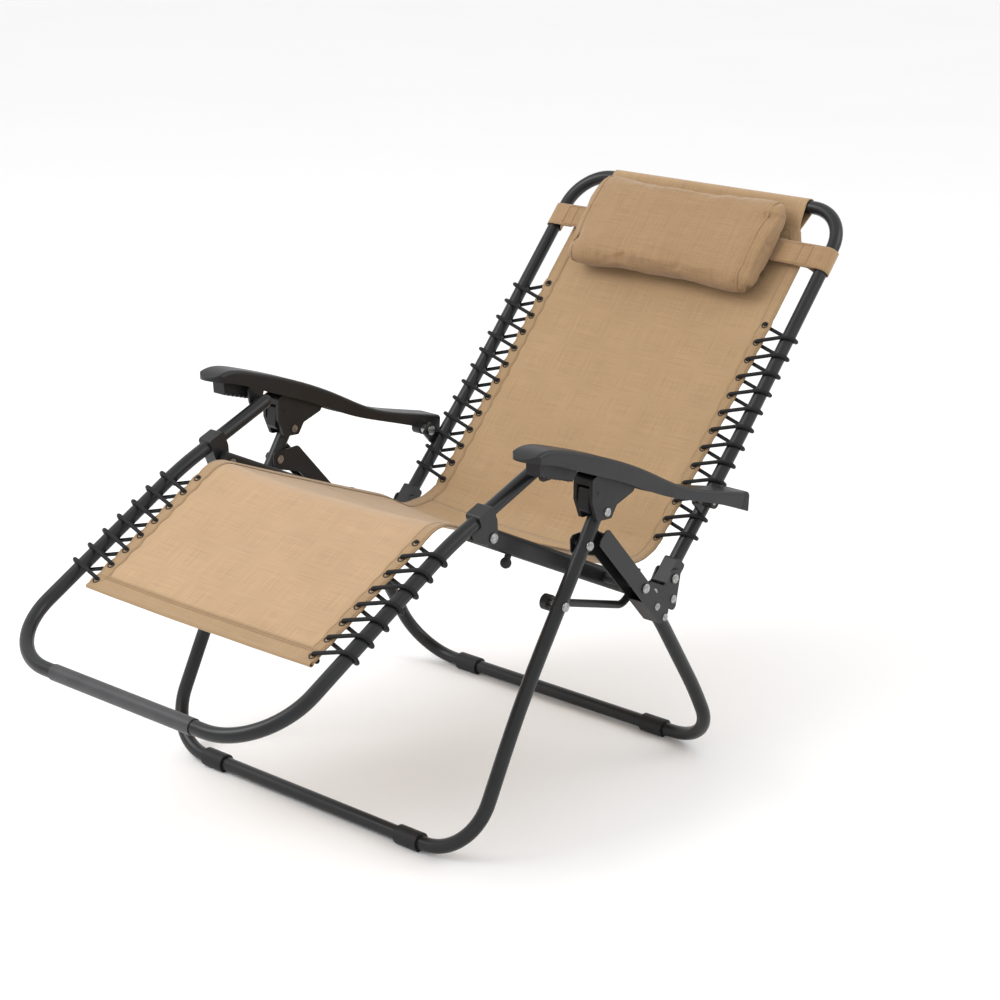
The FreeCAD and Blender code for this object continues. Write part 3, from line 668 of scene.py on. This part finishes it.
def front_hem():
    """The rolled hem at the sling's front edge, a tunnel with its row of stitches behind."""
    verts = []
    uvs = []
    faces = []
    ahead = FOOT_AHEAD
    up = Vector((0.0, -ahead.z, ahead.y))
    half = SLING_HALF - 0.0005
    columns = 61
    profile = []
    for k in range(25):
        angle = math.radians(40 + 280 * k / 24)
        profile.append((math.cos(angle) * 0.0045, math.sin(angle) * 0.0036))
    tail = [(0.028, 0.0014), (0.016, 0.0018), (0.008, 0.0026)]
    profile = tail + profile + [(y, -z) for y, z in reversed(tail)]
    for i in range(columns):
        x = half * (2 * i / (columns - 1) - 1)
        belly = rise(0.0, x, SLING_HALF)
        for along, level in profile:
            verts.append(HEM + Vector((x, 0, 0)) + ahead * along + up * (level + belly))
            uvs.append((x, along))
    faces.extend(grid_faces(columns, len(profile)))
    for inward in (0.024, 0.0205):
        points = [HEM + Vector((half * (2 * i / 80 - 1), 0, 0)) + ahead * inward for i in range(81)]
        points = [p + up * (rise(0.0, p.x, SLING_HALF) + 0.0019) for p in points]
        stitch_line(verts, faces, points, [up] * 81)
    uvs.extend([(0.0, 0.0)] * (len(verts) - len(uvs)))
    return add_object("front_hem", verts, faces, hem_cloth, uvs)


for stretch in STRETCHES:
    add_stretch(stretch)


# ---- Laces: knots at their ends ----

def knot(verts, faces, centre, ahead, up):
    """A closed overhand knot."""
    across = ahead.cross(up).normalized()
    points = []
    for k in range(40):
        t = 2 * math.pi * k / 40
        x = math.sin(t) + 2 * math.sin(2 * t)
        y = math.cos(t) - 2 * math.cos(2 * t)
        z = -math.sin(3 * t)
        points.append(centre + (across * x + ahead * y + up * z * 1.2) * KNOT_SIZE)
    add_tube(verts, faces, points, KNOT_CORD, 8, closed=True)


def lace_knots(name, body, starts):
    verts = []
    faces = []
    for s in starts:
        row = nearest_row(s)
        ahead = Vector((0.0, PATH_UP[row].z, -PATH_UP[row].y))
        for sign in (-1, 1):
            centre = sling_point(row, sign * EYELET_X) - PATH_UP[row] * KNOT_DROP
            knot(verts, faces, centre, ahead, PATH_UP[row])
    piece = add_object(name, verts, faces, cord)
    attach(piece, body)


lace_knots("foot_lace_knots", "footrest", (FOOT_LACED,))
lace_knots("back_lace_knots", "backrest", (BACK_LACED + (BACK_LACES - 1) * LACE_PITCH,))


# ---- Headrest ----

PILLOW_HALF = 0.195
PILLOW_TALL = 0.180
PILLOW_THICK = 0.060
PILLOW_BELOW_TOP = 0.106
STRAP_TALL = 0.042
STRAP_BELOW_TOP = 0.095


def on_back(below_top):
    """The back's own axes, with their origin at a distance below its top bar."""
    middle = BACK_TOP - TOP_AHEAD * below_top
    return Matrix((
        (1, TOP_AHEAD.x, TOP_UP.x, middle.x),
        (0, TOP_AHEAD.y, TOP_UP.y, middle.y),
        (0, TOP_AHEAD.z, TOP_UP.z, middle.z),
        (0, 0, 0, 1),
    ))


def pillow_blank():
    """A boxed cushion, a little smaller than the finished one, in the back's own axes."""
    verts = []
    rows = 44
    sides = 64
    for i in range(rows + 1):
        t = 2 * i / rows - 1
        end = (1 - abs(t) ** 16) ** 0.4 if abs(t) < 1 else 0.0
        size = 0.80 + 0.20 * end
        crown = 0.90 + 0.10 * math.sqrt(1 - t * t)
        for k in range(sides):
            angle = 2 * math.pi * k / sides
            c, s = math.cos(angle), math.sin(angle)
            y = math.copysign(abs(c) ** 0.42, c) * (PILLOW_TALL / 2 - 0.005) * size
            z = math.copysign(abs(s) ** 0.62, s) * (PILLOW_THICK / 2 - 0.005) * size * crown
            flat = -PILLOW_THICK / 2 + 0.010
            z = max(z, flat + 0.25 * (z - flat))
            verts.append(Vector((t * (PILLOW_HALF - 0.009), y, z + PILLOW_THICK / 2 + 0.003)))
    faces = grid_faces(rows + 1, sides, closed=True)
    faces.append(tuple(reversed(range(sides))))
    faces.append(tuple(rows * sides + k for k in range(sides)))
    return verts, faces


def plump(piece, cap):
    """Swells a closed piece as cloth under pressure, moving no point further than cap."""
    remesh = piece.modifiers.new("voxels", "REMESH")
    remesh.mode = "VOXEL"
    remesh.voxel_size = 0.005
    bpy.context.view_layer.objects.active = piece
    bpy.ops.object.modifier_apply(modifier=remesh.name)
    start = [v.co.copy() for v in piece.data.vertices]
    swell = piece.modifiers.new("swell", "CLOTH")
    swell.settings.use_pressure = True
    swell.settings.uniform_pressure_force = 2.5
    swell.settings.effector_weights.gravity = 0.0
    swell.settings.tension_stiffness = 22
    swell.settings.bending_stiffness = 0.4
    swell.settings.shrink_min = -0.05
    scene = bpy.context.scene
    swell.point_cache.frame_start = 1
    swell.point_cache.frame_end = 20
    for number in range(1, 21):
        scene.frame_set(number)
    evaluated = piece.evaluated_get(bpy.context.evaluated_depsgraph_get())
    moved = [v.co.copy() for v in evaluated.data.vertices]
    piece.modifiers.remove(swell)
    scene.frame_set(1)
    for vertex, before, after in zip(piece.data.vertices, start, moved):
        step = after - before
        if step.length > cap:
            step = step.normalized() * cap
        vertex.co = before + step


def section_loop(mesh, x):
    """The closed outline where a mesh crosses a plane of constant x."""
    cut = bmesh.new()
    cut.from_mesh(mesh)
    everything = cut.verts[:] + cut.edges[:] + cut.faces[:]
    found = bmesh.ops.bisect_plane(cut, geom=everything, plane_co=(x, 0, 0), plane_no=(1, 0, 0))
    points = [v.co.copy() for v in found["geom_cut"] if isinstance(v, bmesh.types.BMVert)]
    cut.free()
    middle = sum(points, Vector()) / len(points)
    points.sort(key=lambda p: math.atan2(p.z - middle.z, p.y - middle.y))
    return points


def add_pillow():
    verts, faces = pillow_blank()
    piece = add_object("headrest_cushion", verts, faces, pillow_cloth)
    plump(piece, 0.006)
    for vertex in piece.data.vertices:
        co = vertex.co
        wrinkle = noise.noise(Vector((co.x * 14, co.y * 42, co.z * 42)))
        fine = noise.noise(Vector((co.x * 55, co.y * 70, co.z * 70)))
        edge = smooth(PILLOW_HALF * 0.55, PILLOW_HALF, abs(co.x))
        gathers = math.sin(math.atan2(co.z - PILLOW_THICK / 2, co.y) * 13) * edge
        co += vertex.normal * (0.0010 * wrinkle + 0.0003 * fine + 0.0005 * gathers)
        co.z = max(co.z, 0.0032)
        co.y = max(-PILLOW_TALL / 2, min(PILLOW_TALL / 2, co.y))
    for polygon in piece.data.polygons:
        polygon.use_smooth = True
    seam_verts = []
    seam_faces = []
    for x in (-PILLOW_HALF + 0.020, PILLOW_HALF - 0.020):
        loop = section_loop(piece.data, x)
        add_tube(seam_verts, seam_faces, loop[::2], 0.0019, 8, closed=True)
    seam = add_object("headrest_piping", seam_verts, seam_faces, strap_cloth)
    for made in (piece, seam):
        made.data.transform(on_back(PILLOW_BELOW_TOP))
        made.data.update()
    division = piece.modifiers.new("smooth", "SUBSURF")
    division.levels = 1
    division.render_levels = 1
    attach(piece, "headrest")
    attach(seam, "headrest")
    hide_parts("headrest_pillow")


def strap_line():
    """The strap in the plane across the tube: out from the cushion, round the tube and back onto itself."""
    wrap = TUBE_R + 0.0022
    points = [Vector((PILLOW_HALF - 0.010, 0, 0.0165)), Vector((PILLOW_HALF + 0.010, 0, 0.0150))]
    points += [Vector((0.232 + 0.012 * i, 0, 0.0142 - 0.0002 * i)) for i in range(4)]
    for k in range(22):
        angle = math.radians(88 - 250 * k / 21)
        points.append(Vector((FRAME_X + wrap * math.cos(angle), 0, wrap * math.sin(angle))))
    points += [Vector((0.262, 0, 0.0098)), Vector((0.250, 0, 0.0112)), Vector((0.236, 0, 0.0116))]
    return points


def add_straps():
    cloth_verts = []
    cloth_faces = []
    thread_verts = []
    thread_faces = []
    line = strap_line()
    across = 9
    for sign in (-1, 1):
        base = len(cloth_verts)
        for i, point in enumerate(line):
            for j in range(across):
                t = 2 * j / (across - 1) - 1
                y = t * STRAP_TALL / 2
                ripple = 0.0005 * noise.noise(Vector((i * 0.6, t * 2.0, sign * 3.0)))
                cloth_verts.append(Vector((sign * point.x, y, point.z + ripple)))
        strip = grid_faces(len(line), across, base)
        cloth_faces.extend(strip if sign > 0 else [face[::-1] for face in strip])
        up = Vector((0, 0, 1))
        low, high = 0.2385, 0.258
        for y in (-0.018, 0.018):
            row = []
            for i in range(31):
                x = PILLOW_HALF + 0.003 + (high - PILLOW_HALF) * i / 30
                row.append(Vector((sign * x, y, 0.0158 - 0.0012 * i / 30)))
            stitch_line(thread_verts, thread_faces, row, [up] * 31)
        for x in (low, high):
            row = [Vector((sign * x, -0.018 + 0.036 * i / 12, 0.0150)) for i in range(13)]
            stitch_line(thread_verts, thread_faces, row, [up] * 13)
    straps = add_object("headrest_webbing", cloth_verts, cloth_faces, strap_cloth)
    thicken(straps, 0.0014)
    stitches = add_object("headrest_webbing_stitches", thread_verts, thread_faces, seam_thread)
    for made in (straps, stitches):
        made.data.transform(on_back(STRAP_BELOW_TOP))
        made.data.update()
        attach(made, "headrest")
    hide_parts("headrest_straps")


add_pillow()
add_straps()


# ---- Materials of the carried-over frame ----

frame_coat = painted("charcoal_coat", (0.0085, 0.0088, 0.0096), (0.0125, 0.0129, 0.0140), 0.28, 0.40)
bracket_coat = painted("bracket_coat", (0.0085, 0.0088, 0.0096), (0.0130, 0.0134, 0.0145), 0.32, 0.46)
strut_coat = painted("strut_coat", (0.010, 0.0102, 0.011), (0.015, 0.0153, 0.0162), 0.32, 0.46)
sleeve_coat = painted("sleeve_coat", (0.034, 0.034, 0.036), (0.055, 0.055, 0.058), 0.36, 0.5)
arm_mould = moulded("arm_mould", (0.0085, 0.0087, 0.0093), (0.0125, 0.0127, 0.0135), 0.34, 0.48, 650.0)
black_mould = moulded("black_mould", (0.008, 0.008, 0.0085), (0.013, 0.013, 0.014), 0.42, 0.6, 900.0)
rubber = moulded("bumper_rubber", (0.012, 0.012, 0.012), (0.02, 0.02, 0.02), 0.7, 0.85, 1200.0)
rivet = plated("rivet_zinc")

SLOT_MATERIALS = {
    "frame_paint": frame_coat,
    "rail_paint": frame_coat,
    "bracket_paint": bracket_coat,
    "strut_steel": strut_coat,
    "rivet_steel": rivet,
    "sleeve_metal": sleeve_coat,
    "black_plastic": black_mould,
    "arm_plastic": arm_mould,
    "bumper_rubber": rubber,
    "lace_cord": cord,
}


def dress_frame():
    """Gives every CAD node that still shows the material of its slot."""
    for part in frame["record"]["subparts"]:
        material = SLOT_MATERIALS.get(part["material_slot"])
        if material is None:
            continue
        for place in frame["nodes"][part["node"]].material_slots:
            place.material = material


dress_frame()


# ---- Floor, light and camera ----

def add_floor():
    n = Nodes("pale_floor")
    n.colour(n.ramp(n.noise(n.place(), 1.2), [(0.3, (0.925, 0.925, 0.925)), (0.7, (0.935, 0.935, 0.935))]))
    n.shader.inputs["Roughness"].default_value = 0.8
    reach = 14.0
    corners = [(-reach, -reach, 0), (reach, -reach, 0), (reach, reach, 0), (-reach, reach, 0)]
    add_object("floor", [Vector(c) for c in corners], [(0, 1, 2, 3)], n.material)


def add_light(name, location, target, size, power):
    data = bpy.data.lights.new(name, "AREA")
    data.shape = "SQUARE"
    data.size = size
    data.energy = power
    lamp = bpy.data.objects.new(name, data)
    lamp.location = location
    lamp.rotation_euler = (Vector(target) - Vector(location)).to_track_quat("-Z", "Y").to_euler()
    bpy.context.scene.collection.objects.link(lamp)


def add_camera():
    """Seen from the front left of the sitter's side, a little above the armrests."""
    azimuth = math.radians(43.24)
    elevation = math.radians(17.72)
    level = math.cos(elevation)
    back = Vector((math.sin(azimuth) * level, -math.cos(azimuth) * level, math.sin(elevation)))
    data = bpy.data.cameras.new("camera")
    data.sensor_width = 36.0
    data.lens = 89.0
    data.shift_x = 0.072
    data.shift_y = 0.016
    camera = bpy.data.objects.new("camera", data)
    camera.location = (2.516, -2.715, 1.579)
    camera.rotation_euler = (-back).to_track_quat("-Z", "Y").to_euler()
    bpy.context.scene.collection.objects.link(camera)
    bpy.context.scene.camera = camera


def add_world():
    world = bpy.data.worlds.new("studio")
    world.use_nodes = True
    world.node_tree.nodes["Background"].inputs["Color"].default_value = (1.0, 1.0, 1.0, 1.0)
    world.node_tree.nodes["Background"].inputs["Strength"].default_value = 1.0
    bpy.context.scene.world = world
    bpy.context.scene.view_settings.view_transform = "Standard"


add_floor()
add_light("key", (-1.6, -2.4, 3.4), (0, 0, 0.4), 2.2, 90)
add_light("rim", (2.6, 1.8, 2.6), (0, 0, 0.5), 2.0, 35)
add_camera()
add_world()
